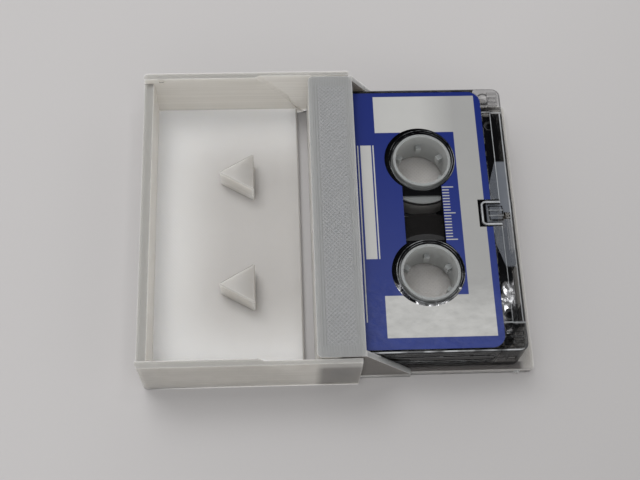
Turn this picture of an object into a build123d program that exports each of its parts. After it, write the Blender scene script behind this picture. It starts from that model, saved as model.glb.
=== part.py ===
from build123d import *

import os
from math import acos, atan2, cos, degrees, hypot, radians, sin

os.makedirs("parts", exist_ok=True)

# Frame: millimetres, Z up. The origin lies on the table under the hinge axis, which runs
# along Y. The tray lies towards -X and the opened lid, with the cassette, towards +X.

# Case, overall
half_length = 33.3
case_height = 12.5
hinge_height = case_height / 2
plate = 1.5
tray_half_width = 27.25
corner_radius = 0.9

# Tray
ear_reach = 3.2
end_wall = 1.6
end_wall_top = case_height - plate - 0.1
thick_inner = 26.1
thin_inner = 26.5
floor_end = -5.9
floor_lead = 0.3
relief_top_x = -13.6
relief_floor_x = -5.3
relief_ramp = 60
swing_radius = 7.55

# Lid
spine_outer = 4.1
flap_edge = 3.8
cheek_foot = 12.1
lid_half_width = 26.2
panel_half_width = 25.9
cheek = 1.0
bend_radius = 0.5

# Hinge pins on the cheeks, sockets in the ears
pin_radius = 1.5
pin_length = 0.7
pin_lead = 0.15
socket_clearance = 0.05
socket_depth = 0.45

# Eight-sided snap nubs on the panel's edges, dimples in the tray walls
snap_x = 30.3
nub_radius = 0.65
nub_height = 0.35
nub_taper = 40
dimple_gap = 0.05

# Cassette, overall
cassette_back = -2.3
cassette_front = 30.9
cassette_half_width = 25.0
cassette_thickness = 8.0
cassette_base = plate + 0.05
seam_height = cassette_base + cassette_thickness / 2
cassette_corner = 1.5

# Shell halves, sizes counted from the seam
half_shell = cassette_thickness / 2
cavity_depth = 2.5
cavity_corner = 0.5
side_wall = 1.3
front_wall = 0.8
rim_bevel = 0.35
hub_hole = 5.35
hub_rim = 5.8
step_back = 2.2
step_drop = 0.25
step_half_length = 20.2
corner_wall_x = 26.3
weld_pocket = (27.7, 22.7)
weld_pocket_radius = 1.0
head_window = 12.0
roller_window = 7.4
roller_window_y = 12.4

# Ribbed recess in each front corner of the shell's faces
corner_recess = (29.4, 22.8)
corner_recess_size = (1.8, 2.6)
corner_recess_depth = 1.0
corner_rib = 0.3

# Shallow ridged band along the shell's sides, with a pocket in front of it
band_x = 12.8
band_length = 26.2
band_height = 2.7
band_depth = 0.2
band_ridge = 0.35
side_pocket_x = 28.8
side_pocket_size = (1.4, 1.2)
side_pocket_depth = 0.5

# Open frame over the pressure pad, with a ribbed block inside, in both faces
boss_back = 6.1
boss_half_width = 2.6
frame_size = (3.5, 4.7)
frame_wall = 0.55
frame_corner = 0.7
frame_height = 0.2
pad_block_size = (2.6, 2.9)
pad_block_back = 3.05
pad_block_corner = 0.6
pad_block_height = 0.12
pad_block_rib = 0.25
face_slot = (1.3, 0.5)
face_slot_size = (1.0, 1.2)

# Labels in shallow seats on both faces, their hub holes a little off the hubs
label_recess = 0.12
label_front = cassette_front - 3.8
label_back = cassette_back + 1.3
label_half_width = 24.3
label_corner = 2.2
label_gap = 0.1
label_thickness = 0.08
label_hole = 6.25
label_shift = 0.4
window_half_width = 3.45

# Slip sheets: thin film between the packs and the shell, cut away over the head's place
sheet_thickness = 0.1
sheet_gap = 0.05
sheet_margin = 0.3
sheet_hole = 5.4
sheet_front = 29.9
sheet_cut = (2.6, 10.8)
sheet_window = 8.6

# Hubs
hub_x = 15.7
hub_y = 10.65
hub_bore = 4.65
collar_radius = 5.1
drum_radius = 7.7
drum_half = 2.1
collar_half = 3.8
tooth_count = 6
tooth_inner = 3.7
tooth_root = 0.2
tooth_width = 0.9
tooth_half = 0.75
clamp_width = 3.2
clamp_depth = 1.3
clamp_gap = 0.04

# Tape
tape_half = 3.81 / 2
supply_radius = 11.7
takeup_radius = 8.1
run_thickness = 0.08
run_gap = 0.05
pack_gap = 0.02

# Guide rollers and the posts they turn on
roller_x = 28.7
roller_y = 18.1
roller_radius = 1.1
roller_bore = 0.62
post_radius = 0.56

# Hub pegs on the tray's floor: the closing cassette centres itself on them
peg_x = 16.2
peg_radius = 4.2
peg_height = 4.5
peg_corner = 0.3
peg_lead = 0.2

# Pressure pad on its leaf spring, the spring's seats, and the shield behind
pad_size = (1.0, 4.0, 3.4)
pad_corner = 0.2
pad_gap = 0.06
spring_thickness = 0.15
spring_height = 3.0
spring_half_length = 5.5
spring_flat = 2.2
spring_sweep = 1.0
seat_size = (1.2, 0.8)
seat_y = spring_half_length + 0.9
seat_gap = 0.2
post_gap = 0.05
shield_thickness = 0.25
shield_half_length = 4.4
shield_side = 0.45
shield_gap = 1.0

past = 1.0


def block(x_limits, y_limits, z_limits, mode=Mode.ADD):
    # a plain block between two limits on each axis, in the part being built
    low, high = zip(x_limits, y_limits, z_limits)
    centre = tuple((a + b) / 2 for a, b in zip(low, high))
    with Locations(centre):
        Box(*(b - a for a, b in zip(low, high)), mode=mode)


def along_y(y):
    # a plane facing -Y at the given place, its sketches drawn in x and z
    return Plane.XZ.offset(-y)


def nearest(shapes, x, y, z=0):
    return shapes.sort_by_distance((x, y, z))[0]


# Case tray: one half is modelled and mirrored across the case's centre line
with BuildPart() as case_tray:
    with BuildSketch() as tray_plan:
        with Locations((-half_length, 0)):
            Rectangle(half_length + ear_reach, tray_half_width, align=(Align.MIN, Align.MIN))
        fillet(nearest(tray_plan.vertices(), -half_length, tray_half_width), corner_radius)
    extrude(amount=case_height)
    past_ears = ear_reach + past
    block(
        (end_wall - half_length, past_ears),
        (-past, thick_inner),
        (plate, case_height + past),
        Mode.SUBTRACT,
    )
    block((floor_end, past_ears), (-past, thick_inner), (-past, plate), Mode.SUBTRACT)
    # the end wall stops under the closed lid's panel
    block(
        (-half_length - past, end_wall - half_length),
        (-past, thick_inner),
        (end_wall_top, case_height + past),
        Mode.SUBTRACT,
    )
    # slanted relief that takes the lid's cheek, ramped along its slanted edge
    slant = (relief_floor_x - relief_top_x) / (case_height - plate)
    with BuildSketch(along_y(thick_inner)) as relief:
        Polygon(
            (relief_top_x - past * slant, case_height + past),
            (relief_floor_x + (plate + past) * slant, -past),
            (past_ears, -past),
            (past_ears, case_height + past),
            align=None,
        )
    extrude(amount=thick_inner - thin_inner, taper=relief_ramp, mode=Mode.SUBTRACT)
    # the ears are thin over their whole face, and round the spine's swing
    block(
        (-spine_outer, past_ears),
        (thick_inner - past, thin_inner),
        (-past, case_height + past),
        Mode.SUBTRACT,
    )
    with BuildSketch(along_y(thick_inner)) as swing:
        with Locations((0, hinge_height)):
            Circle(swing_radius)
    extrude(amount=thick_inner - thin_inner, mode=Mode.SUBTRACT)
    with BuildSketch(along_y(thin_inner)) as socket:
        with Locations((0, hinge_height)):
            Circle(pin_radius + socket_clearance)
    extrude(amount=-socket_depth, mode=Mode.SUBTRACT)
    with BuildSketch(along_y(thick_inner)) as dimple:
        with Locations((-snap_x, case_height - plate / 2)):
            RegularPolygon(nub_radius, 8)
    extrude(amount=-(nub_height - thick_inner + panel_half_width + dimple_gap), mode=Mode.SUBTRACT)
    chamfer(nearest(case_tray.edges().filter_by(Axis.Y), floor_end, hub_y, plate), floor_lead)
    # triangular peg, one corner towards the tray's free end
    with BuildSketch(Plane.XY.offset(plate)) as peg:
        with Locations((-peg_x, hub_y)):
            RegularPolygon(peg_radius, 3, rotation=180)
        chamfer(peg.vertices(), peg_corner)
    extrude(amount=peg_height)
    peg_top = nearest(case_tray.faces(), -peg_x, hub_y, plate + peg_height)
    chamfer(peg_top.edges(), peg_lead)
    mirror(about=Plane.XZ)
case_tray.part.label = "case_tray"
export_step(case_tray.part, "parts/case_tray.step")

# Case lid: panel, spine and pocket flap in one bent profile, with a cheek at each side
with BuildPart() as case_lid:
    with BuildSketch(Plane.XZ) as lid_profile:
        Polygon(
            (-spine_outer, 0),
            (half_length, 0),
            (half_length, plate),
            (plate - spine_outer, plate),
            (plate - spine_outer, case_height - plate),
            (flap_edge, case_height - plate),
            (flap_edge, case_height),
            (-spine_outer, case_height),
            align=None,
        )
        fillet(nearest(lid_profile.vertices(), -spine_outer, 0, 0), bend_radius)
        fillet(nearest(lid_profile.vertices(), -spine_outer, 0, case_height), bend_radius)
    extrude(amount=-lid_half_width)
    with BuildSketch(along_y(lid_half_width - cheek)) as cheek_profile:
        Polygon(
            (-spine_outer, 0),
            (cheek_foot, 0),
            (cheek_foot, plate),
            (flap_edge, case_height),
            (-spine_outer, case_height),
            align=None,
        )
        fillet(nearest(cheek_profile.vertices(), -spine_outer, lid_half_width - cheek, 0), bend_radius)
        fillet(
            nearest(cheek_profile.vertices(), -spine_outer, lid_half_width - cheek, case_height),
            bend_radius,
        )
    extrude(amount=-cheek)
    # outline in plan: wide along the cheek, narrower where the panel drops between thick walls
    with BuildSketch() as lid_plan:
        Polygon(
            (-spine_outer, 0),
            (half_length, 0),
            (half_length, panel_half_width),
            (cheek_foot, panel_half_width),
            (cheek_foot, lid_half_width),
            (-spine_outer, lid_half_width),
            align=None,
        )
        fillet(nearest(lid_plan.vertices(), half_length, panel_half_width), corner_radius)
        fillet(nearest(lid_plan.vertices(), -spine_outer, lid_half_width), corner_radius)
    extrude(amount=case_height, mode=Mode.INTERSECT)
    with BuildSketch(along_y(lid_half_width)) as pin:
        with Locations((0, hinge_height)):
            Circle(pin_radius)
    extrude(amount=-pin_length)
    pin_tip = case_lid.faces().sort_by(Axis.Y)[-1]
    chamfer(pin_tip.edges(), pin_lead)
    with BuildSketch(along_y(panel_half_width)) as nub:
        with Locations((snap_x, plate / 2)):
            RegularPolygon(nub_radius, 8)
    extrude(nub.sketch, amount=-nub_height, taper=nub_taper)
    mirror(about=Plane.XZ)
case_lid.part.label = "case_lid"
export_step(case_lid.part, "parts/case_lid.step")


def label_outline(plane):
    # a label's outline: rounded, notched at the front, with hub holes joined by a window
    window_x = hub_x - label_shift
    with BuildSketch(plane) as outline:
        with Locations(((label_back + label_front) / 2, 0)):
            RectangleRounded(label_front - label_back, 2 * label_half_width, label_corner)
        notch = label_front - cassette_front + boss_back
        with Locations((label_front, 0)):
            Rectangle(2 * notch, 2 * boss_half_width, mode=Mode.SUBTRACT)
        with Locations((window_x, hub_y), (window_x, -hub_y)):
            Circle(label_hole, mode=Mode.SUBTRACT)
        with Locations((window_x, 0)):
            Rectangle(2 * window_half_width, 2 * (hub_y - label_hole + past), mode=Mode.SUBTRACT)
    return outline.sketch


def shell_half(seam):
    # one half of the cassette's shell, standing on the seam plane with its face away from it
    length = cassette_front - cassette_back
    with BuildPart() as half:
        with BuildSketch(seam) as outer:
            with Locations(((cassette_back + cassette_front) / 2, 0)):
                RectangleRounded(length, 2 * cassette_half_width, cassette_corner)
        extrude(amount=half_shell)
        rim = half.faces().filter_by(Axis.Z).sort_by_distance(seam.origin)[-1]
        chamfer(rim.edges(), rim_bevel)
        # cavity, its front corners filled by solid corner blocks
        with BuildSketch(seam) as cavity:
            with Locations((cassette_back + side_wall, 0)):
                Rectangle(
                    length - side_wall - front_wall,
                    2 * (cassette_half_width - side_wall),
                    align=(Align.MIN, Align.CENTER),
                )
            chamfer(cavity.vertices(), cavity_corner)
            for side in (1, -1):
                with Locations((corner_wall_x, side * step_half_length)):
                    Rectangle(
                        cassette_front - corner_wall_x,
                        cassette_half_width - step_half_length,
                        align=(Align.MIN, Align.MIN if side > 0 else Align.MAX),
                        mode=Mode.SUBTRACT,
                    )
            with Locations(weld_pocket, (weld_pocket[0], -weld_pocket[1])):
                Circle(weld_pocket_radius)
        extrude(amount=cavity_depth, mode=Mode.SUBTRACT)
        with BuildSketch(seam) as hub_holes:
            with Locations((hub_x, hub_y), (hub_x, -hub_y)):
                Circle(hub_hole)
        extrude(amount=half_shell, mode=Mode.SUBTRACT)
        # label seat round the raised hub rims, the lowered front strip, the corner recesses
        face = seam.offset(half_shell)
        with BuildSketch(face) as label_seat:
            with Locations(((label_back + label_front) / 2, 0)):
                RectangleRounded(
                    label_front - label_back + 2 * label_gap,
                    2 * (label_half_width + label_gap),
                    label_corner + label_gap,
                )
            with Locations((hub_x, hub_y), (hub_x, -hub_y)):
                Circle(hub_rim, mode=Mode.SUBTRACT)
        extrude(amount=-label_recess, mode=Mode.SUBTRACT)
        with BuildSketch(face) as strip:
            with Locations((cassette_front, 0)):
                Rectangle(2 * step_back, 2 * step_half_length)
            with Locations((cassette_front - boss_back, 0)):
                Rectangle(boss_back, 2 * boss_half_width, align=(Align.MIN, Align.CENTER))
        extrude(amount=-step_drop, mode=Mode.SUBTRACT)
        corners = (corner_recess, (corner_recess[0], -corner_recess[1]))
        with BuildSketch(face) as corner_recesses:
            with Locations(*corners):
                Rectangle(*corner_recess_size)
        extrude(amount=-corner_recess_depth, mode=Mode.SUBTRACT)
        with BuildSketch(face.offset(-corner_recess_depth)) as corner_ribs:
            with Locations(*corners):
                with GridLocations(0, corner_recess_size[1] / 3, 1, 2):
                    Rectangle(corner_recess_size[0], corner_rib)
        extrude(amount=corner_recess_depth - rim_bevel)
        # raised frame with cut corners over the pressure pad, open towards the front edge
        boss_floor = face.offset(-step_drop)
        frame_x = cassette_front - step_back - frame_size[0] / 2
        block_x = cassette_front - pad_block_back
        with BuildSketch(boss_floor) as frame:
            with Locations((frame_x, 0)):
                Rectangle(*frame_size)
            chamfer(frame.vertices().group_by(Axis.X)[0], frame_corner)
            with Locations((frame_x + frame_wall, 0)):
                Rectangle(frame_size[0], frame_size[1] - 2 * frame_wall, mode=Mode.SUBTRACT)
        extrude(amount=frame_height)
        with BuildSketch(boss_floor) as ribbed_block:
            with Locations((block_x, 0)):
                Rectangle(*pad_block_size)
            chamfer(ribbed_block.vertices().group_by(Axis.X)[-1], pad_block_corner)
        extrude(amount=pad_block_height)
        with BuildSketch(boss_floor) as block_ribs:
            with Locations((block_x, 0)):
                with GridLocations(0, pad_block_size[1] / 3, 1, 2):
                    Rectangle(pad_block_size[0], pad_block_rib)
        extrude(amount=frame_height)
        with BuildSketch(boss_floor) as slot:
            with Locations((cassette_front - face_slot[0], -face_slot[1])):
                Rectangle(*face_slot_size)
        extrude(amount=-frame_height, mode=Mode.SUBTRACT)
        # band along both sides next to the seam, two fine ridges in it, and the pocket in front
        with BuildSketch(seam) as bands:
            with Locations((band_x, cassette_half_width), (band_x, -cassette_half_width)):
                Rectangle(band_length, 2 * band_depth)
        extrude(amount=band_height, mode=Mode.SUBTRACT)
        band_floor = cassette_half_width - band_depth
        for level in (1, 2):
            with BuildSketch(seam.offset(level * band_height / 3)) as ridges:
                with Locations((band_x, band_floor), (band_x, -band_floor)):
                    Rectangle(band_length, band_depth)
            extrude(amount=band_ridge)
        with BuildSketch(seam) as side_pockets:
            with Locations((side_pocket_x, cassette_half_width), (side_pocket_x, -cassette_half_width)):
                Rectangle(side_pocket_size[0], 2 * side_pocket_depth)
        extrude(amount=side_pocket_size[1], mode=Mode.SUBTRACT)
        # windows through the front wall: the head's in the middle, the pinch rollers' beside it
        with BuildSketch(seam) as windows:
            with Locations((cassette_front, 0)):
                Rectangle(2 * front_wall + past / 2, head_window)
            with Locations((cassette_front, roller_window_y), (cassette_front, -roller_window_y)):
                Rectangle(2 * front_wall + past / 2, roller_window)
        extrude(amount=drum_half, mode=Mode.SUBTRACT)
    return half.part


# Upper shell half, label side up
with BuildPart() as cassette_upper_shell:
    add(shell_half(Plane.XY.offset(seam_height)))
cassette_upper_shell.part.label = "cassette_upper_shell"
export_step(cassette_upper_shell.part, "parts/cassette_upper_shell.step")

# Lower shell half, with the roller posts and the seats for the pad's spring
cavity_floor = seam_height - cavity_depth
cavity_roof = seam_height + cavity_depth
tape_x = roller_x + roller_radius + run_gap + run_thickness / 2
pad_front = tape_x - run_thickness / 2 - pad_gap
pad_back = pad_front - pad_size[0]
seat_x = pad_back - spring_sweep - seat_gap
seat_align = (Align.MIN, Align.CENTER)
with BuildPart() as cassette_lower_shell:
    add(shell_half(Plane((0, 0, seam_height), x_dir=(1, 0, 0), z_dir=(0, 0, -1))))
    with BuildSketch(Plane.XY.offset(cavity_floor)) as posts:
        with Locations((roller_x, roller_y), (roller_x, -roller_y)):
            Circle(post_radius)
        with Locations((seat_x, seat_y), (seat_x, -seat_y)):
            Rectangle(*seat_size, align=seat_align)
    extrude(amount=cavity_roof - cavity_floor - post_gap)
cassette_lower_shell.part.label = "cassette_lower_shell"
export_step(cassette_lower_shell.part, "parts/cassette_lower_shell.step")

# Paper labels, lying in the shallow seats of both faces
upper_label_z = cassette_base + cassette_thickness - label_recess
with BuildPart() as cassette_upper_label:
    extrude(label_outline(Plane.XY.offset(upper_label_z)), amount=label_thickness)
cassette_upper_label.part.label = "cassette_upper_label"
export_step(cassette_upper_label.part, "parts/cassette_upper_label.step")

lower_label_z = cassette_base + label_recess - label_thickness
with BuildPart() as cassette_lower_label:
    extrude(label_outline(Plane.XY.offset(lower_label_z)), amount=label_thickness)
cassette_lower_label.part.label = "cassette_lower_label"
export_step(cassette_lower_label.part, "parts/cassette_lower_label.step")


def slip_sheet_outline(plane):
    # a slip sheet's outline, with holes for the hubs and posts and slots for the spring's seats
    window_x = hub_x - label_shift
    with BuildSketch(plane) as outline:
        with Locations((cassette_back + side_wall + sheet_margin, 0)):
            Rectangle(
                corner_wall_x - cassette_back - side_wall - 2 * sheet_margin,
                2 * (cassette_half_width - side_wall - sheet_margin),
                align=(Align.MIN, Align.CENTER),
            )
        # the front edge runs back from both rollers towards the head's place
        for side in (1, -1):
            Polygon(
                (corner_wall_x - 2, side * sheet_cut[0]),
                (corner_wall_x, side * sheet_cut[0]),
                (sheet_front, side * sheet_cut[1]),
                (sheet_front, side * (step_half_length - sheet_margin)),
                (corner_wall_x - 2, side * (step_half_length - sheet_margin)),
                align=None,
            )
        with Locations((hub_x, hub_y), (hub_x, -hub_y)):
            Circle(sheet_hole, mode=Mode.SUBTRACT)
        with Locations((roller_x, roller_y), (roller_x, -roller_y)):
            RegularPolygon(2 * post_radius, 6, mode=Mode.SUBTRACT)
        with Locations((seat_x - seat_gap, seat_y), (seat_x - seat_gap, -seat_y)):
            Rectangle(cassette_front - seat_x, seat_size[1] + seat_gap, align=seat_align, mode=Mode.SUBTRACT)
        with Locations((window_x, 0)):
            Rectangle(2 * window_half_width, sheet_window, mode=Mode.SUBTRACT)
    return outline.sketch


with BuildPart() as upper_slip_sheet:
    upper_sheet = Plane.XY.offset(cavity_roof - sheet_gap - sheet_thickness)
    extrude(slip_sheet_outline(upper_sheet), amount=sheet_thickness)
upper_slip_sheet.part.label = "upper_slip_sheet"
export_step(upper_slip_sheet.part, "parts/upper_slip_sheet.step")

with BuildPart() as lower_slip_sheet:
    extrude(slip_sheet_outline(Plane.XY.offset(cavity_floor + sheet_gap)), amount=sheet_thickness)
lower_slip_sheet.part.label = "lower_slip_sheet"
export_step(lower_slip_sheet.part, "parts/lower_slip_sheet.step")

# Reels: hub, leader clamp and wound pack, the supply reel on the near side
for name, reel_y, pack_radius in (("supply", -hub_y, supply_radius), ("takeup", hub_y, takeup_radius)):
    reel_plane = Plane.XY.offset(seam_height)
    side = 1 if reel_y > 0 else -1
    with BuildPart() as hub:
        with BuildSketch(Plane.XZ.offset(-reel_y)) as hub_profile:
            with BuildLine():
                Polyline(
                    (hub_x + hub_bore, seam_height - collar_half),
                    (hub_x + collar_radius, seam_height - collar_half),
                    (hub_x + collar_radius, seam_height - drum_half),
                    (hub_x + drum_radius, seam_height - drum_half),
                    (hub_x + drum_radius, seam_height + drum_half),
                    (hub_x + collar_radius, seam_height + drum_half),
                    (hub_x + collar_radius, seam_height + collar_half),
                    (hub_x + hub_bore, seam_height + collar_half),
                    close=True,
                )
            make_face()
        revolve(axis=Axis((hub_x, reel_y, 0), (0, 0, 1)))
        # drive teeth round the middle of the bore
        with BuildSketch(reel_plane.offset(-tooth_half)) as teeth:
            with Locations((hub_x, reel_y)):
                with PolarLocations(0, tooth_count, start_angle=30):
                    with Locations(((tooth_inner + hub_bore + tooth_root) / 2, 0)):
                        Rectangle(hub_bore + tooth_root - tooth_inner, tooth_width)
        extrude(amount=2 * tooth_half)
        # notch in the drum that the leader clamp fills
        with BuildSketch(reel_plane.offset(-drum_half)) as notch:
            with Locations((hub_x, reel_y + side * drum_radius)):
                Rectangle(clamp_width, 2 * clamp_depth)
        extrude(amount=2 * drum_half, mode=Mode.SUBTRACT)
    hub.part.label = f"{name}_hub"
    export_step(hub.part, f"parts/{name}_hub.step")

    with BuildPart() as leader_clamp:
        with BuildSketch(reel_plane.offset(-drum_half)) as clamp_outline:
            with Locations((hub_x, reel_y)):
                Circle(drum_radius)
            with Locations((hub_x, reel_y + side * drum_radius)):
                Rectangle(
                    clamp_width - 2 * clamp_gap,
                    2 * (clamp_depth - clamp_gap),
                    mode=Mode.INTERSECT,
                )
        extrude(amount=2 * drum_half)
    leader_clamp.part.label = f"{name}_leader_clamp"
    export_step(leader_clamp.part, f"parts/{name}_leader_clamp.step")

    with BuildPart() as tape_pack:
        with BuildSketch(reel_plane.offset(-tape_half)) as pack:
            with Locations((hub_x, reel_y)):
                Circle(pack_radius)
                Circle(drum_radius + pack_gap, mode=Mode.SUBTRACT)
        extrude(amount=2 * tape_half)
    tape_pack.part.label = f"{name}_tape_pack"
    export_step(tape_pack.part, f"parts/{name}_tape_pack.step")

# Guide rollers in the front corners
for name, side in (("near", -1), ("far", 1)):
    with BuildPart() as guide_roller:
        with BuildSketch(Plane.XY.offset(seam_height - drum_half)) as roller:
            with Locations((roller_x, side * roller_y)):
                Circle(roller_radius)
                Circle(roller_bore, mode=Mode.SUBTRACT)
        extrude(amount=2 * drum_half)
    guide_roller.part.label = f"{name}_guide_roller"
    export_step(guide_roller.part, f"parts/{name}_guide_roller.step")

# Tape run: from the supply pack round both rollers to the take-up pack
offset_radius = run_gap + run_thickness / 2
run_points = []
for side, pack_radius in ((-1, supply_radius), (1, takeup_radius)):
    step_x = roller_x - hub_x
    step_y = side * (roller_y - hub_y)
    bearing = degrees(atan2(step_y, step_x))
    opening = degrees(acos((pack_radius - roller_radius) / hypot(step_x, step_y)))
    normal = bearing + side * opening
    reach_pack = pack_radius + offset_radius
    reach_roller = roller_radius + offset_radius
    on_pack = (
        hub_x + reach_pack * cos(radians(normal)),
        side * hub_y + reach_pack * sin(radians(normal)),
    )
    on_roller = (
        roller_x + reach_roller * cos(radians(normal)),
        side * roller_y + reach_roller * sin(radians(normal)),
    )
    run_points.append((normal, on_pack, on_roller))

with BuildPart() as tape_run:
    with BuildSketch(Plane.XY.offset(seam_height - tape_half)) as run_outline:
        with BuildLine() as route:
            near_normal, near_pack, near_roller = run_points[0]
            far_normal, far_pack, far_roller = run_points[1]
            Line(near_pack, near_roller)
            CenterArc((roller_x, -roller_y), roller_radius + offset_radius, near_normal, -near_normal)
            Line((tape_x, -roller_y), (tape_x, roller_y))
            CenterArc((roller_x, roller_y), roller_radius + offset_radius, 0, far_normal)
            Line(far_roller, far_pack)
        trace(line_width=run_thickness)
    extrude(amount=2 * tape_half)
tape_run.part.label = "tape_run"
export_step(tape_run.part, "parts/tape_run.step")

# Pressure pad, its leaf spring, and the shield behind them
with BuildPart() as pressure_pad:
    with BuildSketch(Plane.XY.offset(seam_height - pad_size[2] / 2)) as pad:
        with Locations(((pad_front + pad_back) / 2, 0)):
            Rectangle(pad_size[0], pad_size[1])
        chamfer(pad.vertices(), pad_corner)
    extrude(amount=pad_size[2])
pressure_pad.part.label = "pressure_pad"
export_step(pressure_pad.part, "parts/pressure_pad.step")

with BuildPart() as pad_spring:
    with BuildSketch(Plane.XY.offset(seam_height - spring_height / 2)) as leaf:
        with BuildLine():
            spring_x = pad_back - spring_thickness / 2
            Polyline(
                (spring_x - spring_sweep, -spring_half_length),
                (spring_x, -spring_flat),
                (spring_x, spring_flat),
                (spring_x - spring_sweep, spring_half_length),
            )
        trace(line_width=spring_thickness)
    extrude(amount=spring_height)
pad_spring.part.label = "pad_spring"
export_step(pad_spring.part, "parts/pad_spring.step")

with BuildPart() as head_shield:
    shield_x = pad_back - spring_sweep - shield_gap
    with BuildSketch(Plane.XY.offset(seam_height - drum_half)) as shield:
        with BuildLine():
            Polyline(
                (shield_x + shield_side, -shield_half_length),
                (shield_x, -shield_half_length),
                (shield_x, shield_half_length),
                (shield_x + shield_side, shield_half_length),
            )
        trace(line_width=shield_thickness)
    extrude(amount=2 * drum_half)
head_shield.part.label = "head_shield"
export_step(head_shield.part, "parts/head_shield.step")
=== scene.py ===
import math

import bpy
from mathutils import Euler, Matrix, Vector

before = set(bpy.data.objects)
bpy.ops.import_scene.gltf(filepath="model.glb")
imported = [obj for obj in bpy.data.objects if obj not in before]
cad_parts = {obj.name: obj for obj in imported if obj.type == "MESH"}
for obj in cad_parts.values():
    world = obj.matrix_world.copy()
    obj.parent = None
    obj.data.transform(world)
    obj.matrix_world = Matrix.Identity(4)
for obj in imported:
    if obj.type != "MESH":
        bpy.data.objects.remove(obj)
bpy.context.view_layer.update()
mm = 0.001


class Value:
    # wraps a socket, so that maths on it adds its nodes
    def __init__(self, web, socket):
        self.web = web
        self.socket = socket

    def math(self, operation, *others, clamp=False):
        settings = {"operation": operation, "use_clamp": clamp}
        return self.web.node("ShaderNodeMath", settings, dict(enumerate((self, *others))))

    def __add__(self, other):
        return self.math("ADD", other)

    def __mul__(self, other):
        return self.math("MULTIPLY", other)

    def __sub__(self, other):
        return self.math("SUBTRACT", other)

    def __truediv__(self, other):
        return self.math("DIVIDE", other)

    def __pow__(self, other):
        return self.math("POWER", other)

    def __rsub__(self, other):
        return (self * -1) + other

    def __abs__(self):
        return self.math("ABSOLUTE")

    __radd__ = __add__
    __rmul__ = __mul__

    def above(self, edge, blur):
        # 0 below the edge, 1 above it, blurred over the given width
        return self.math("MULTIPLY_ADD", 1 / blur, 0.5 - edge / blur, clamp=True)

    def below(self, edge, blur):
        return self.math("MULTIPLY_ADD", -1 / blur, 0.5 + edge / blur, clamp=True)

    def between(self, low, high, blur):
        return self.above(low, blur) * self.below(high, blur)

    def line(self, place, width, blur):
        # 1 on a line of the given width, 0 beside it
        return abs(self - place).below(width / 2, blur)

    def wave(self, pitch):
        # a smooth wave between 0 and 1 that repeats every pitch
        return (self * (math.tau / pitch)).math("SINE") * 0.5 + 0.5

    def larger(self, other):
        return self.math("MAXIMUM", other)

    def smaller(self, other):
        return self.math("MINIMUM", other)


class Web:
    # a node tree, and the ways to add to it
    def __init__(self, tree):
        self.nodes = tree.nodes
        self.links = tree.links

    def feed(self, socket, value):
        if isinstance(value, Value):
            self.links.new(value.socket, socket)
        else:
            socket.default_value = value

    def node(self, kind, settings=None, sockets=None, output=0):
        made = self.nodes.new(kind)
        for key, value in (settings or {}).items():
            setattr(made, key, value)
        for key, value in (sockets or {}).items():
            self.feed(made.inputs[key], value)
        return Value(self, made.outputs[output])

    def split(self, vector):
        made = self.nodes.new("ShaderNodeSeparateXYZ")
        self.feed(made.inputs[0], vector)
        return [Value(self, out) for out in made.outputs]

    def mix(self, factor, first, second):
        settings = {"data_type": "RGBA", "clamp_factor": True}
        return self.node("ShaderNodeMix", settings, {0: factor, 6: first, 7: second}, output=2)

    def tint(self, colour, factor):
        # the colour made lighter or darker by a factor
        grey = self.node("ShaderNodeCombineColor", {}, {0: factor, 1: factor, 2: factor})
        settings = {"data_type": "RGBA", "blend_type": "MULTIPLY"}
        return self.node("ShaderNodeMix", settings, {0: 1.0, 6: colour, 7: grey}, output=2)


class Finish(Web):
    # one material: its Principled shader, and the nodes that feed it
    def __init__(self, name, **constants):
        self.material = bpy.data.materials.new(name)
        self.material.use_nodes = True
        super().__init__(self.material.node_tree)
        self.shader = self.nodes["Principled BSDF"]
        for key, value in constants.items():
            self.set(key.replace("_", " "), value)
        # the point's place on the object at rest, in millimetres
        at = self.node("ShaderNodeTexCoord", output=3)
        self.point = self.node("ShaderNodeVectorMath", {"operation": "SCALE"}, {0: at, "Scale": 1000})
        self.x, self.y, self.z = self.split(self.point)

    def set(self, key, value):
        self.feed(self.shader.inputs[key], value)

    def facing(self):
        return self.split(self.node("ShaderNodeTexCoord", output=1))

    def noise(self, scale, detail=2.0, stretch=(1, 1, 1)):
        # noise with its size in millimetres, stretched along the axes where asked
        at = self.node("ShaderNodeVectorMath", {"operation": "MULTIPLY"}, {0: self.point, 1: stretch})
        return self.node("ShaderNodeTexNoise", {}, {"Vector": at, "Scale": 1 / scale, "Detail": detail})

    def radius(self, centre):
        # distance from a vertical axis
        return ((self.x - centre[0]) ** 2 + (self.y - centre[1]) ** 2) ** 0.5

    def edges(self, width):
        # 1 beside every edge of the mesh, 0 elsewhere
        rounded = self.node("ShaderNodeBevel", {"samples": 8}, {"Radius": width * mm})
        plain = self.node("ShaderNodeNewGeometry", output=3)
        settings = {"operation": "DOT_PRODUCT"}
        turned = self.node("ShaderNodeVectorMath", settings, {0: rounded, 1: plain}, output=1)
        return ((1 - turned) * 8).smaller(1)

    def bump(self, height, depth):
        # height between 0 and 1, depth in millimetres
        sockets = {"Height": height, "Distance": depth * mm, "Strength": 1.0}
        self.set("Normal", self.node("ShaderNodeBump", {}, sockets))


def srgb(red, green, blue):
    # a screen colour of 0 to 255 as the linear colour that shaders use
    def linear(level):
        level /= 255
        return level / 12.92 if level < 0.04045 else ((level + 0.055) / 1.055) ** 2.4
    return (linear(red), linear(green), linear(blue), 1.0)


def paint(finish, *names):
    for name in names:
        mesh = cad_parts[name].data
        mesh.materials.clear()
        mesh.materials.append(finish.material)


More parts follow.
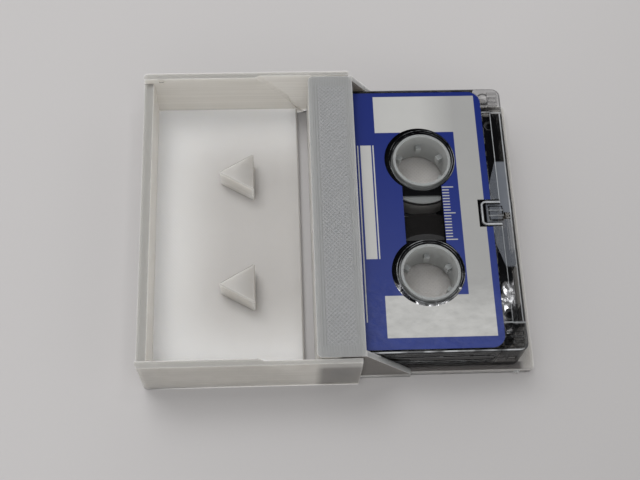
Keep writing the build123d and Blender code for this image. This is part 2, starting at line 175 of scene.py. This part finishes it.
# camera, where the photograph was taken from: place, lens and sensor in millimetres, turn in degrees
# about x, y and z, and nearest in metres
cameraLook = {
    "place": (-10.4, -76.3, 176.1),
    "turn": (23.38, -1.72, -2.02),
    "lens": 59.906,
    "sensor": 36.0,
    "nearest": 0.005,
}
cameraData = bpy.data.cameras.new("camera")
cameraData.lens = cameraLook["lens"]
cameraData.sensor_width = cameraLook["sensor"]
cameraData.clip_start = cameraLook["nearest"]
camera = bpy.data.objects.new("camera", cameraData)
turn = Euler([math.radians(angle) for angle in cameraLook["turn"]]).to_matrix().to_4x4()
camera.matrix_world = Matrix.Translation(Vector(cameraLook["place"]) * mm) @ turn
bpy.context.collection.objects.link(camera)
bpy.context.scene.camera = camera

# a pale table that the case lies on, with painted shade that darkens it towards the near right
tableLook = {
    "size": 3.0,
    "colour": srgb(192, 190, 190),
    "speckle": 0.6,
    "grain": 0.02,
    "falloff": 0.2,
    "darker": (70, 160),
}
half = tableLook["size"] / 2
tableMesh = bpy.data.meshes.new("table")
corners = [(-half, -half, 0), (half, -half, 0), (half, half, 0), (-half, half, 0)]
tableMesh.from_pydata(corners, [], [(0, 1, 2, 3)])
table = bpy.data.objects.new("table", tableMesh)
bpy.context.collection.objects.link(table)
tableTop = Finish("tableTop", Roughness=0.8, Specular_IOR_Level=0.15)
speckle = tableTop.noise(tableLook["speckle"], detail=4)
# painted shade, growing towards the near right
falloff = (tableTop.x - tableTop.y).above(*tableLook["darker"]) * tableLook["falloff"]
shade = 1 - falloff + (speckle - 0.5) * tableLook["grain"]
tableTop.set("Base Color", tableTop.tint(tableLook["colour"], shade))
tableMesh.materials.append(tableTop.material)


def softLamp(name, place, size, power):
    data = bpy.data.lights.new(name, "AREA")
    data.shape = "RECTANGLE"
    data.size, data.size_y = size
    data.energy = power
    lamp = bpy.data.objects.new(name, data)
    lamp.location = place
    lamp.rotation_mode = "QUATERNION"
    lamp.rotation_quaternion = (-Vector(place)).to_track_quat("-Z", "Y")
    bpy.context.collection.objects.link(lamp)


# the lamps stand clear of where glossy black would mirror them: place and size in metres, power in watts
lampLook = {
    "windowLamp": ((-0.15, 0.2, 0.5), (0.28, 0.28), 1.2),
    "overheadLamp": ((0.0, -0.17, 0.62), (0.42, 0.3), 1.1),
    "glintLamp": ((0.17, 0.06, 0.6), (0.06, 0.05), 0.16),
}
for name, (place, size, power) in lampLook.items():
    softLamp(name, place, size, power)

# the room is bright all round and dim overhead
roomLook = {"around": 0.8, "overhead": 0.05, "low": 0.62, "high": 0.8, "tone": (1.0, 0.99, 0.98, 1)}
room = bpy.data.worlds.new("room")
bpy.context.scene.world = room
room.use_nodes = True
sky = Web(room.node_tree)
up = sky.split(sky.node("ShaderNodeTexCoord", output=0))[2]
overhead = up.above((roomLook["low"] + roomLook["high"]) / 2, roomLook["high"] - roomLook["low"])
strength = roomLook["around"] + overhead * (roomLook["overhead"] - roomLook["around"])
backdrop = room.node_tree.nodes["Background"]
sky.feed(backdrop.inputs["Color"], roomLook["tone"])
sky.feed(backdrop.inputs["Strength"], strength)
bpy.context.scene.view_settings.view_transform = "Standard"
print("camera, table and light are set")

# the printed case: milky plastic laid down in fine layers
printLook = {
    "tone": srgb(191, 188, 185),
    "glow": srgb(244, 242, 239),
    "wall": srgb(197, 195, 191),
    "lit": srgb(208, 206, 202),
    "rim": srgb(149, 148, 145),
    "outside": srgb(176, 174, 170),
    "flap": srgb(143, 144, 144),
    "hatched": srgb(146, 147, 148),
    "shaded": srgb(108, 105, 102),
    "dim": srgb(96, 93, 92),
    "strip": srgb(160, 158, 155),
    "edge": srgb(150, 148, 146),
    "edgeHighlight": srgb(214, 213, 210),
    "layer": 0.2,
    "hatch": 0.5,
    "raster": 0.6,
    "cloud": 8.0,
    "scatter": 0.004,
}


def printed(name):
    # milky plastic, and its layer lines on upright walls
    made = Finish(name, Roughness=0.45, Specular_IOR_Level=0.35, Subsurface_Weight=1.0,
                  Subsurface_Scale=printLook["scatter"], Subsurface_Radius=(1.0, 0.97, 0.92))
    made.nx, made.ny, made.nz = made.facing()
    made.upright = abs(made.nz).below(0.5, 0.2)
    made.level = made.nz.above(0.8, 0.1)
    made.under = made.nz.below(-0.8, 0.1)
    made.streak = made.noise(1.0, detail=3, stretch=(0.05, 0.05, 3.0))
    made.layers = made.upright * (made.z.wave(printLook["layer"]) * 0.6 + made.streak * 0.8)
    made.cloud = made.noise(printLook["cloud"], detail=2)
    return made


trayLook = {
    "floor": 1.6,
    "rim": 10.0,
    "outside": 27.0,
    "ears": -3.7,
    "earTop": 10.2,
    "earBlur": 1.4,
    "endWall": -30,
    "glowEnd": (-25, 14),
    "glowSide": (18, 15),
    "glowCurve": 1.5,
}
trayFinish = printed("milkyTray")
x, y, z = trayFinish.x, trayFinish.y, trayFinish.z
floorTop = z.below(trayLook["floor"], 0.1) * trayFinish.level
# painted shade on the top faces of the walls
rim = trayFinish.level * z.above(trayLook["rim"], 0.5)
outside = trayFinish.upright * abs(y).above(trayLook["outside"], 0.2)
floorRaster = (x + y).wave(printLook["raster"]) * (trayFinish.level + trayFinish.under * 2)
# painted shade: the lid's cheek stands behind the ears and darkens them
backed = outside * x.above(trayLook["ears"], trayLook["earBlur"])
backed = backed * z.below(trayLook["earTop"], trayLook["earBlur"])
# pegs: thin walls that let the light through, with painted shade, darkest behind their back edge, painted
# shade on their far bevel and painted light on their sides
pegLook = {
    "x": -16.2,
    "y": 10.65,
    "reach": 4.3,
    "darker": (0.2, 3.0),
    "light": srgb(182, 180, 177),
    "dark": srgb(162, 159, 155),
    "side": srgb(213, 211, 207),
    "edge": srgb(140, 137, 133),
}
pegAway = ((x - pegLook["x"]) ** 2 + (abs(y) - pegLook["y"]) ** 2) ** 0.5
atPeg = pegAway.below(pegLook["reach"], 0.1) * z.above(trayLook["floor"], 0.1)
pegSide = (x - pegLook["x"]).above(*pegLook["darker"])
colour = trayFinish.mix(trayFinish.upright, printLook["tone"], printLook["wall"])
# painted light: the floor beside the walls is lighter, as light comes through them
glowEnd = x.below(*trayLook["glowEnd"]) ** trayLook["glowCurve"]
glowSide = abs(y).above(*trayLook["glowSide"]) ** trayLook["glowCurve"]
glow = floorTop * (1 - (1 - glowEnd) * (1 - glowSide))
# painted light on the inner face of the end wall
endInner = trayFinish.upright * trayFinish.nx.above(0.5, 0.2) * x.below(trayLook["endWall"], 0.5)
colour = trayFinish.mix(endInner, colour, printLook["lit"])
colour = trayFinish.mix(glow, colour, printLook["glow"])
colour = trayFinish.mix(rim, colour, printLook["rim"])
colour = trayFinish.mix(outside, colour, printLook["outside"])
pegTone = trayFinish.mix(pegSide, pegLook["light"], pegLook["dark"])
pegTone = trayFinish.mix(trayFinish.upright, pegTone, pegLook["side"])
bevelled = trayFinish.nz.between(0.3, 0.9, 0.1)
pegTone = trayFinish.mix(bevelled * trayFinish.ny.above(0.1, 0.1), pegTone, pegLook["edge"])
pegTone = trayFinish.mix(bevelled * trayFinish.ny.below(-0.1, 0.1), pegTone, pegLook["light"])
colour = trayFinish.mix(atPeg, colour, pegTone)
shade = 0.97 + trayFinish.cloud * 0.06 - trayFinish.upright * (trayFinish.streak - 0.5) * 0.3
shade = shade + (trayFinish.noise(2.5, detail=3) - 0.5) * outside * 0.2
colour = trayFinish.tint(colour, shade)
# the painted shade on the ears
darker = trayFinish.tint(printLook["shaded"], 0.8 + trayFinish.streak * 0.4)
colour = trayFinish.mix(backed * 0.7, colour, darker)
# painted highlight along the edges
trayFinish.set("Base Color", trayFinish.mix(trayFinish.edges(0.12) * 0.25, colour, printLook["edgeHighlight"]))
trayFinish.bump(trayFinish.layers + floorRaster * 0.15 + trayFinish.noise(0.35) * 0.2, 0.02)
paint(trayFinish, "case_tray")

lidLook = {
    "flap": 12.3,
    "hatched": (-2.3, 2.4),
    "hatchedEnd": 24.2,
    "seams": (-2.55, -3.05),
    "seamEnd": 24.4,
    "edgeLine": 0.45,
    "panel": 1.7,
    "beside": (24.4, 25.72),
    "besideFront": 31.2,
    "strip": (30.5, 2),
    "cheek": 25.1,
    "cheekBack": -0.5,
    "cheekFoot": 1.55,
    "cheekSlope": 3.9,
    "panelSide": 25.6,
    "panelSideFrom": (8, 4),
}
lidFinish = printed("milkyLid")
x, y, z = lidFinish.x, lidFinish.y, lidFinish.z
across = abs(y)
flapTop = z.above(lidLook["flap"], 0.1) * lidFinish.level
inner = x.between(*lidLook["hatched"], 0.5) * across.below(lidLook["hatchedEnd"], 0.6)
diagonal = (x + y).wave(printLook["hatch"] * math.sqrt(2)) ** 2
crossing = (x - y).wave(printLook["hatch"] * math.sqrt(2)) ** 2
hatch = diagonal.larger(crossing)
speck = lidFinish.noise(0.4, detail=3)
hatched = flapTop * inner
margin = flapTop * (1 - inner)
edgeLines = margin * x.wave(lidLook["edgeLine"])
firstSeam, secondSeam = (x.line(place, 0.12, 0.08) for place in lidLook["seams"])
seams = margin * firstSeam.larger(secondSeam) * across.below(lidLook["seamEnd"], 0.4)
panelTop = z.below(lidLook["panel"], 0.1) * lidFinish.level
# painted shadow on the panel beside the cassette
besideCassette = panelTop * across.between(*lidLook["beside"], 0.12) * x.below(lidLook["besideFront"], 0.8)
atCheek = across.above(lidLook["cheek"], 0.2)
# painted shade on the outer faces of the cheeks
cheekOuter = atCheek * x.above(lidLook["cheekBack"], 1.0) * z.above(lidLook["cheekFoot"], 0.1)
cheekOuter = cheekOuter * abs(lidFinish.ny).above(0.5, 0.2)
cheekEdge = atCheek * x.above(lidLook["cheekSlope"], 0.2) * lidFinish.nz.between(0.2, 0.9, 0.1)
# painted highlight along the edges
edgeHighlight = lidFinish.edges(0.12) * (0.4 + lidFinish.noise(1.2) * 0.8)
panelEdge = across.above(lidLook["panelSide"], 0.1) * x.above(*lidLook["panelSideFrom"])
panelEdge = panelEdge * z.below(lidLook["panel"], 0.1)
colour = lidFinish.mix(lidFinish.upright, printLook["tone"], printLook["wall"])
colour = lidFinish.mix(flapTop, colour, printLook["flap"])
colour = lidFinish.mix(hatched, colour, printLook["hatched"])
colour = lidFinish.mix(cheekOuter, colour, printLook["shaded"])
colour = lidFinish.mix(panelTop * x.above(*lidLook["strip"]) * 0.8, colour, printLook["strip"])
colour = lidFinish.mix(panelEdge, colour, printLook["edge"])
colour = lidFinish.mix(besideCassette, colour, printLook["dim"])
colour = lidFinish.mix(cheekEdge, colour, printLook["flap"])
colour = lidFinish.mix(edgeHighlight * 0.3, colour, printLook["edgeHighlight"])
weave = (hatch - 0.6) * 0.16 + (speck - 0.5) * 0.3
shade = 0.97 + lidFinish.cloud * 0.06 - lidFinish.upright * (lidFinish.streak - 0.5) * 0.2
shade = shade + (hatched + panelTop * 0.4) * weave + edgeLines * 0.03 - seams * 0.18
lidRaster = (x - y).wave(printLook["raster"]) * lidFinish.under
shade = shade + lidRaster * 0.04 + (lidFinish.noise(5.0, detail=4) - 0.5) * lidFinish.under * 0.12
lidFinish.set("Base Color", lidFinish.tint(colour, shade))
relief = lidFinish.layers + (hatched + panelTop * 0.3) * (hatch + speck) * 0.8
lidFinish.bump(relief + edgeLines * 0.4 + lidRaster * 0.3, 0.03)
paint(lidFinish, "case_lid")
print("printed case is finished")

# cassette shell: clear moulded plastic, seen mostly by its edges, which carry painted highlights and
# painted shade
hubSpots = ((15.7, -10.65), (15.7, 10.65))
shellLook = {
    "clear": 0.08,
    "tone": srgb(24, 25, 27),
    "line": srgb(188, 191, 194),
    "rim": srgb(70, 72, 75),
    "grey": srgb(104, 108, 115),
    "black": srgb(10, 10, 11),
}
# where its mouldings lie, in millimetres: a hub rim by radius and width, the weld pocket by x, y and radius
shellSize = {
    "seam": 5.55,
    "skin": 9.2,
    "bevel": 9.36,
    "front": 30.9,
    "frontWall": 29.9,
    "step": 28.7,
    "stepFrom": 2.4,
    "halfStep": 20.2,
    "ends": 27.0,
    "corner": 26.3,
    "hubRims": ((5.78, 0.14), (5.38, 0.1)),
    "weldPocket": (27.7, 22.7, 1.05),
    "strip": (28.5, 30.7),
}
shellFinish = Finish("clearShell", Roughness=0.06, Specular_IOR_Level=0.15)
x, y, z = shellFinish.x, shellFinish.y, shellFinish.z
nx, ny, nz = shellFinish.facing()
across = abs(y)
face = abs(nz).above(0.9, 0.1)
sloped = abs(nz).between(0.2, 0.9, 0.1)
side = abs(nz).below(0.2, 0.1)
fromSeam = abs(z - shellSize["seam"])
outer = fromSeam.above(shellSize["skin"] - shellSize["seam"], 0.1)
uneven = shellFinish.noise(1.5, detail=3)
rings = 0
for spot in hubSpots:
    away = shellFinish.radius(spot)
    outerRim, innerRim = (away.line(place, width, 0.08) for place, width in shellSize["hubRims"])
    rings = outerRim.larger(innerRim) + rings
arcs = rings * shellFinish.noise(4.0).above(0.5, 0.12)
stepSpan = across.between(shellSize["stepFrom"], shellSize["halfStep"], 0.1)
stepLine = x.line(shellSize["step"], 0.18, 0.1) * stepSpan
frontLine = x.line(shellSize["front"] - 0.45, 0.2, 0.12) * across.below(shellSize["halfStep"], 0.2)
endLine = across.line(shellSize["halfStep"] - 0.2, 0.3, 0.1) * x.above(shellSize["ends"], 0.1)
endBar = across.line(shellSize["halfStep"] + 0.45, 0.6, 0.15) * x.above(shellSize["ends"], 0.1)
# frame round the pressure pad's place: a painted highlight between lines of painted shade, and the ribbed
# block in it, with painted shade along its edges and painted highlights on its ribs
frameLook = {
    "bend": (26.1, 1.45),
    "span": (24.8, 28.8),
    "half": 2.6,
    "lightLine": (0.64, 0.34),
    "darkLines": ((0.33, 0.2), (1.0, 0.2)),
    "block": (26.6, 29.1),
    "blockHalf": 1.4,
    "blockRim": 0.2,
    "rib": (0.5, 0.22),
    "greySpan": (26.2, 30.6),
}
bendX, bendY = frameLook["bend"]
fromBend = ((bendX - x).larger(0) ** 2 + (across - bendY).larger(0) ** 2) ** 0.5
atFrame = x.between(*frameLook["span"], 0.1) * across.below(frameLook["half"], 0.1)
frameLine = fromBend.line(*frameLook["lightLine"], 0.12) * atFrame
innerDark, outerDark = (fromBend.line(place, width, 0.1) for place, width in frameLook["darkLines"])
frameDark = innerDark.larger(outerDark) * atFrame
blockBack, blockFront = frameLook["block"]
blockHalf, blockRim = frameLook["blockHalf"], frameLook["blockRim"]
atBlock = x.between(blockBack, blockFront, 0.12) * across.below(blockHalf, 0.12)
blockInside = x.between(blockBack + blockRim, blockFront - blockRim, 0.12)
blockEdge = atBlock * (1 - blockInside * across.below(blockHalf - blockRim, 0.12))
blockRib = atBlock * across.line(*frameLook["rib"], 0.1)
# the films are cut away at a slant beside it, and grey shows there
cutLook = {"span": (26.2, 30.4), "from": 27.1, "slant": 3.3, "half": 5.3, "end": 10.0}
cutAway = (across - (x - cutLook["from"]) * cutLook["slant"]).below(cutLook["half"], 0.25)
cutAway = cutAway * across.below(cutLook["end"], 0.3) * x.between(*cutLook["span"], 0.15)
# a small dark ladder with two light rungs, in front of the frame
ladderLook = {"span": (29.3, 30.3), "shift": 0.5, "half": 0.65, "rung": (0.3, 0.16)}
offLadder = abs(y + ladderLook["shift"])
ladder = x.between(*ladderLook["span"], 0.1) * offLadder.below(ladderLook["half"], 0.1)
ladderDark = ladder * (1 - offLadder.line(*ladderLook["rung"], 0.1))
greyZone = x.between(*frameLook["greySpan"], 0.15) * across.below(frameLook["half"], 0.2)
# painted highlights on the step, the front bevel, the ends, the frame, the hub rims and the ribs
light = (stepLine.larger(frontLine).larger(endLine) * 0.75).larger(frameLine) + arcs * 0.8
light = light.larger(blockRib * 0.45) * face * outer * (0.6 + uneven * 0.6)
dark = frameDark.larger(blockEdge).larger(ladderDark).larger(endBar * 0.75) * face * outer
# the sides: painted black for the shade inside, with painted highlights on the ridges, broken at two dark
# posts, and a painted reflection along the top edge as a bright broken line
flankLook = {
    "from": 24.2,
    "plainFrom": 24.3,
    "front": 26.0,
    "ridges": ((1.07, 0.26), (1.97, 0.26), (3.1, 0.16)),
    "posts": ((21.7, 0.6), (24.6, 0.5)),
    "nearEdge": -24.5,
    "hides": (26.2, 0.95),
}
plainSide = across.above(flankLook["plainFrom"], 0.1) * side * x.below(flankLook["front"], 0.2)
# painted glints and painted dark lines along the edges
edge = shellFinish.edges(0.13) * (0.3 + uneven * 0.7) * (1 - plainSide)
flank = abs(ny).above(0.5, 0.1) * across.above(flankLook["from"], 0.1)
lowRidge, highRidge, faintRidge = (fromSeam.line(place, width, 0.1) for place, width in flankLook["ridges"])
ridges = lowRidge.larger(highRidge).larger(faintRidge * 0.7) * x.below(flankLook["front"], 0.2)
backPost, frontPost = (x.line(place, width, 0.2) for place, width in flankLook["posts"])
posts = backPost.larger(frontPost)
# painted highlights on the ridges
sideLight = flank * ridges * (1 - posts) * (0.02 + uneven * 0.3)
# painted reflection along the near top edge
nearEdgeReflection = sloped * y.below(flankLook["nearEdge"], 0.1) * z.above(shellSize["bevel"], 0.08)
nearEdgeReflection = nearEdgeReflection * (0.25 + shellFinish.noise(5.0, stretch=(1, 0, 0)).above(0.5, 0.1) * 0.75)
# the front wall is dark, because the films' edges lie against it
wall = abs(nx).above(0.5, 0.1) * x.above(shellSize["frontWall"], 0.1)
wall = wall * across.below(shellSize["halfStep"], 0.1)
# the strip in front of the films is dark too, most of all in its far half
strip = x.between(*shellSize["strip"], 0.2) * across.below(shellSize["halfStep"] - 0.4, 0.2)
strip = strip * outer * face * (0.5 + y.above(0, 0.5) * 0.42)
colour = shellFinish.mix(sloped, shellLook["tone"], shellLook["rim"])
# the strip painted black, and painted shade on the sides
colour = shellFinish.mix(strip.larger(flank * 0.8), colour, shellLook["black"])
grey = greyZone.larger(cutAway) * outer * face
colour = shellFinish.mix(grey, colour, shellLook["grey"])
# along the edges, patch by patch, a painted glint or painted shade
glancing = shellFinish.noise(1.1, detail=1).above(0.5, 0.1)
colour = shellFinish.mix(edge, colour, shellFinish.mix(glancing, shellLook["black"], shellLook["line"]))
colour = shellFinish.mix(dark, colour, shellLook["black"])
colour = shellFinish.mix(sideLight, colour, shellLook["line"])
colour = shellFinish.mix(nearEdgeReflection, colour, shellLook["line"])
shellFinish.set("Base Color", shellFinish.mix(light, colour, shellLook["line"]))
hidesFrom, hidesMost = flankLook["hides"]
flankHides = flank * x.below(hidesFrom, 0.2) * hidesMost
cornerWall = x.above(shellSize["corner"], 0.1) * across.above(shellSize["halfStep"], 0.1)
pocketX, pocketY, pocketRadius = shellSize["weldPocket"]
fromPocket = ((x - pocketX) ** 2 + (across - pocketY) ** 2) ** 0.5
pocket = fromPocket.line(pocketRadius, 0.3, 0.15) * face * outer
# how much each place hides of what lies behind it
hides = shellLook["clear"] + sloped * 0.6 + side * (0.12 + cornerWall * (0.08 + y.below(0, 1) * 0.4))
hides = hides.larger(pocket * 0.75).larger(wall * 0.85).larger(grey * 0.6).larger(strip)
hides = hides.larger(flankHides).larger(nearEdgeReflection * 0.9).larger(light * 0.85).larger(dark * 0.9)
shellFinish.set("Alpha", hides.larger(edge * 0.6))
paint(shellFinish, "cassette_upper_shell", "cassette_lower_shell")

# slip sheets: black film that lies flat, but ripples towards the near end, where painted glints lie on it
sheetLook = {
    "flat": srgb(15, 15, 17),
    "dull": srgb(34, 35, 38),
    "bright": srgb(226, 226, 229),
    "loose": (-11.6, 1.5),
    "ripple": 3.4,
    "glare": 2.4,
    "grain": 0.8,
    "depth": 1.2,
}
sheetFinish = Finish("graphiteFilm", Roughness=0.22, Specular_IOR_Level=0.04)
ripple = sheetFinish.noise(sheetLook["ripple"], detail=2, stretch=(1, 0.8, 1))
loose = sheetFinish.y.below(*sheetLook["loose"])
# painted glints on the ripples
glare = sheetFinish.noise(sheetLook["glare"], detail=1, stretch=(1, 0.7, 1)).above(0.5, 0.12)
crinkleGlints = sheetFinish.mix(glare, sheetLook["dull"], sheetLook["bright"])
graphite = sheetFinish.mix(loose, sheetLook["flat"], crinkleGlints)
grain = sheetFinish.noise(sheetLook["grain"], detail=4)
sheetFinish.set("Base Color", sheetFinish.tint(graphite, 0.7 + grain * 0.6))
sheetFinish.set("Metallic", loose * 0.9)
sheetFinish.bump(ripple * loose, sheetLook["depth"])
paint(sheetFinish, "upper_slip_sheet", "lower_slip_sheet")

# label: satin blue with a pale write-on area, a plain scale and stripes, each by left, width, low and high
labelLook = {
    "blue": srgb(10, 32, 106),
    "blueSheen": srgb(48, 60, 120),
    "white": srgb(180, 180, 178),
    "whiteInShade": srgb(154, 154, 153),
    "back": srgb(26, 26, 30),
    "left": 7.65,
    "right": 25.95,
    "column": 21.75,
    "far": (16.1, 23.5),
    "near": (-22.3, -14.9),
    "stripes": ((4.9, 1.9, -8.2, 13.6), (7.05, 0.22, -8.2, 13.6), (4.35, 0.2, -19.5, 13.6)),
    "middle": 5.5,
    "length": 40,
    "dimX": (19, 6),
    "dimY": (-16, 6),
    "creased": (-13, 5),
    "blur": 0.07,
}
tickLook = {
    "start": 18.8,
    "short": 1.2,
    "long": 2.0,
    "first": 5.13,
    "pitch": 0.554,
    "count": 19,
    "half": 0.1,
    "longEvery": 9,
}
labelFinish = Finish("satinLabel", Roughness=0.4, Specular_IOR_Level=0.2)
x, y = labelFinish.x, labelFinish.y
blur = labelLook["blur"]
whole = x.between(labelLook["left"], labelLook["right"], blur)
column = x.between(labelLook["column"], labelLook["right"], blur)
farPart = y.between(*labelLook["far"], blur) * whole
nearPart = y.between(*labelLook["near"], blur) * whole
middlePart = y.between(labelLook["near"][0], labelLook["far"][1], blur) * column
white = farPart.larger(nearPart).larger(middlePart)
steps = (tickLook["first"] - y) / tickLook["pitch"]
tick = abs(steps - steps.math("ROUND")).below(tickLook["half"] / tickLook["pitch"], 0.1)
tick = tick * steps.between(-0.5, tickLook["count"] - 0.5, 0.02)
groups = steps / tickLook["longEvery"]
isLong = abs(groups - groups.math("ROUND")).below(0.05, 0.01)
reach = tickLook["start"] + tickLook["short"] + isLong * (tickLook["long"] - tickLook["short"])
white = white.larger(tick * x.above(tickLook["start"], blur) * (x - reach).below(0, blur))
for left, width, low, high in labelLook["stripes"]:
    white = white.larger(x.between(left, left + width, blur) * y.between(low, high, blur))
# painted sheen: the blue turns lighter towards the near end
nearness = (y * (-1 / labelLook["length"]) + 0.5).larger(0).smaller(1) ** 1.5
blueTone = labelFinish.mix(nearness, labelLook["blue"], labelLook["blueSheen"])
paper = labelFinish.noise(3.0, detail=4)
turnedIn = (labelFinish.facing()[2] * (labelFinish.z - labelLook["middle"])).below(0, 0.1)
# painted shade: the white is darker towards the front, except at the near end
shaded = x.above(*labelLook["dimX"]) * y.above(*labelLook["dimY"])
whiteTone = labelFinish.mix(shaded, labelLook["white"], labelLook["whiteInShade"])
creased = y.below(*labelLook["creased"])
crease = labelFinish.noise(1.3, detail=4, stretch=(0.7, 1.2, 1))
# painted light and shade on the creases towards the near end
shade = 0.97 + paper * 0.06 + (crease - 0.5) * creased * 0.45
printedTone = labelFinish.tint(labelFinish.mix(white, blueTone, whiteTone), shade)
labelFinish.set("Base Color", labelFinish.mix(turnedIn, printedTone, labelLook["back"]))
labelFinish.bump(crease * creased + paper * 0.05, 0.28)
paint(labelFinish, "cassette_upper_label", "cassette_lower_label")
print("label is printed")

# reels and tape
hubLook = {
    "wall": srgb(176, 178, 177),
    "top": srgb(142, 145, 145),
    "shade": srgb(30, 30, 31),
    "drum": (5.3, 8.0),
    "pack": srgb(18, 16, 15),
    "turn": srgb(150, 148, 146),
    "turnRate": 9.0,
    "run": srgb(48, 38, 32),
}
hubFinish = Finish("hubPlastic", Roughness=0.38, Subsurface_Weight=0.6, Subsurface_Scale=0.0012,
                   Subsurface_Radius=(1, 1, 1))
top = hubFinish.facing()[2].above(0.8, 0.1)
# painted shade: the top of the near drum is darkened
drum = hubFinish.radius(hubSpots[0]).between(*hubLook["drum"], 0.1)
colour = hubFinish.mix(top, hubLook["wall"], hubLook["top"])
colour = hubFinish.mix(drum * top, colour, hubLook["shade"])
hubFinish.set("Base Color", hubFinish.tint(colour, 0.96 + hubFinish.noise(2.0, detail=3) * 0.08))
hubFinish.bump(hubFinish.noise(0.5), 0.01)
paint(hubFinish, "supply_hub", "takeup_hub", "supply_leader_clamp", "takeup_leader_clamp")


def woundTape(name, spot):
    # fine rings, one for each few turns
    made = Finish(name, Roughness=0.32, Specular_IOR_Level=0.1)
    sockets = {"W": made.radius(spot), "Scale": hubLook["turnRate"], "Detail": 3.0}
    turns = made.node("ShaderNodeTexNoise", {"noise_dimensions": "1D"}, sockets)
    outermost = abs(made.facing()[2]).below(0.5, 0.2)
    colour = made.mix(outermost, made.tint(hubLook["pack"], 0.5 + turns), hubLook["turn"])
    made.set("Base Color", colour)
    made.bump(turns, 0.02)
    return made


paint(woundTape("woundTapeNear", hubSpots[0]), "supply_tape_pack")
paint(woundTape("woundTapeFar", hubSpots[1]), "takeup_tape_pack")
runFinish = Finish("tapeRibbon", Roughness=0.25)
runFinish.set("Base Color", runFinish.tint(hubLook["run"], 0.9 + runFinish.noise(1.5) * 0.2))
paint(runFinish, "tape_run")

# rollers, pad, spring and shield
innerLook = {
    "roller": srgb(70, 70, 71),
    "felt": srgb(118, 110, 100),
    "spring": srgb(150, 144, 132),
    "shield": srgb(130, 132, 136),
}
rollerFinish = Finish("rollerPlastic", Roughness=0.4)
rollerFinish.set("Base Color", rollerFinish.tint(innerLook["roller"], 0.9 + rollerFinish.noise(0.5) * 0.2))
paint(rollerFinish, "near_guide_roller", "far_guide_roller")
feltFinish = Finish("padFelt", Roughness=0.95, Specular_IOR_Level=0.1)
fibre = feltFinish.noise(0.12, detail=4)
feltFinish.set("Base Color", feltFinish.tint(innerLook["felt"], 0.7 + fibre * 0.6))
feltFinish.bump(fibre, 0.06)
paint(feltFinish, "pressure_pad")
springFinish = Finish("springBronze", Roughness=0.35, Metallic=1.0)
springFinish.set("Base Color", springFinish.tint(innerLook["spring"], 0.9 + springFinish.noise(0.7) * 0.2))
paint(springFinish, "pad_spring")
shieldFinish = Finish("shieldPlate", Roughness=0.4, Metallic=1.0)
brushed = shieldFinish.noise(0.3, stretch=(1, 0.1, 1))
shieldFinish.set("Base Color", shieldFinish.tint(innerLook["shield"], 0.9 + brushed * 0.2))
paint(shieldFinish, "head_shield")
print("cassette is finished")
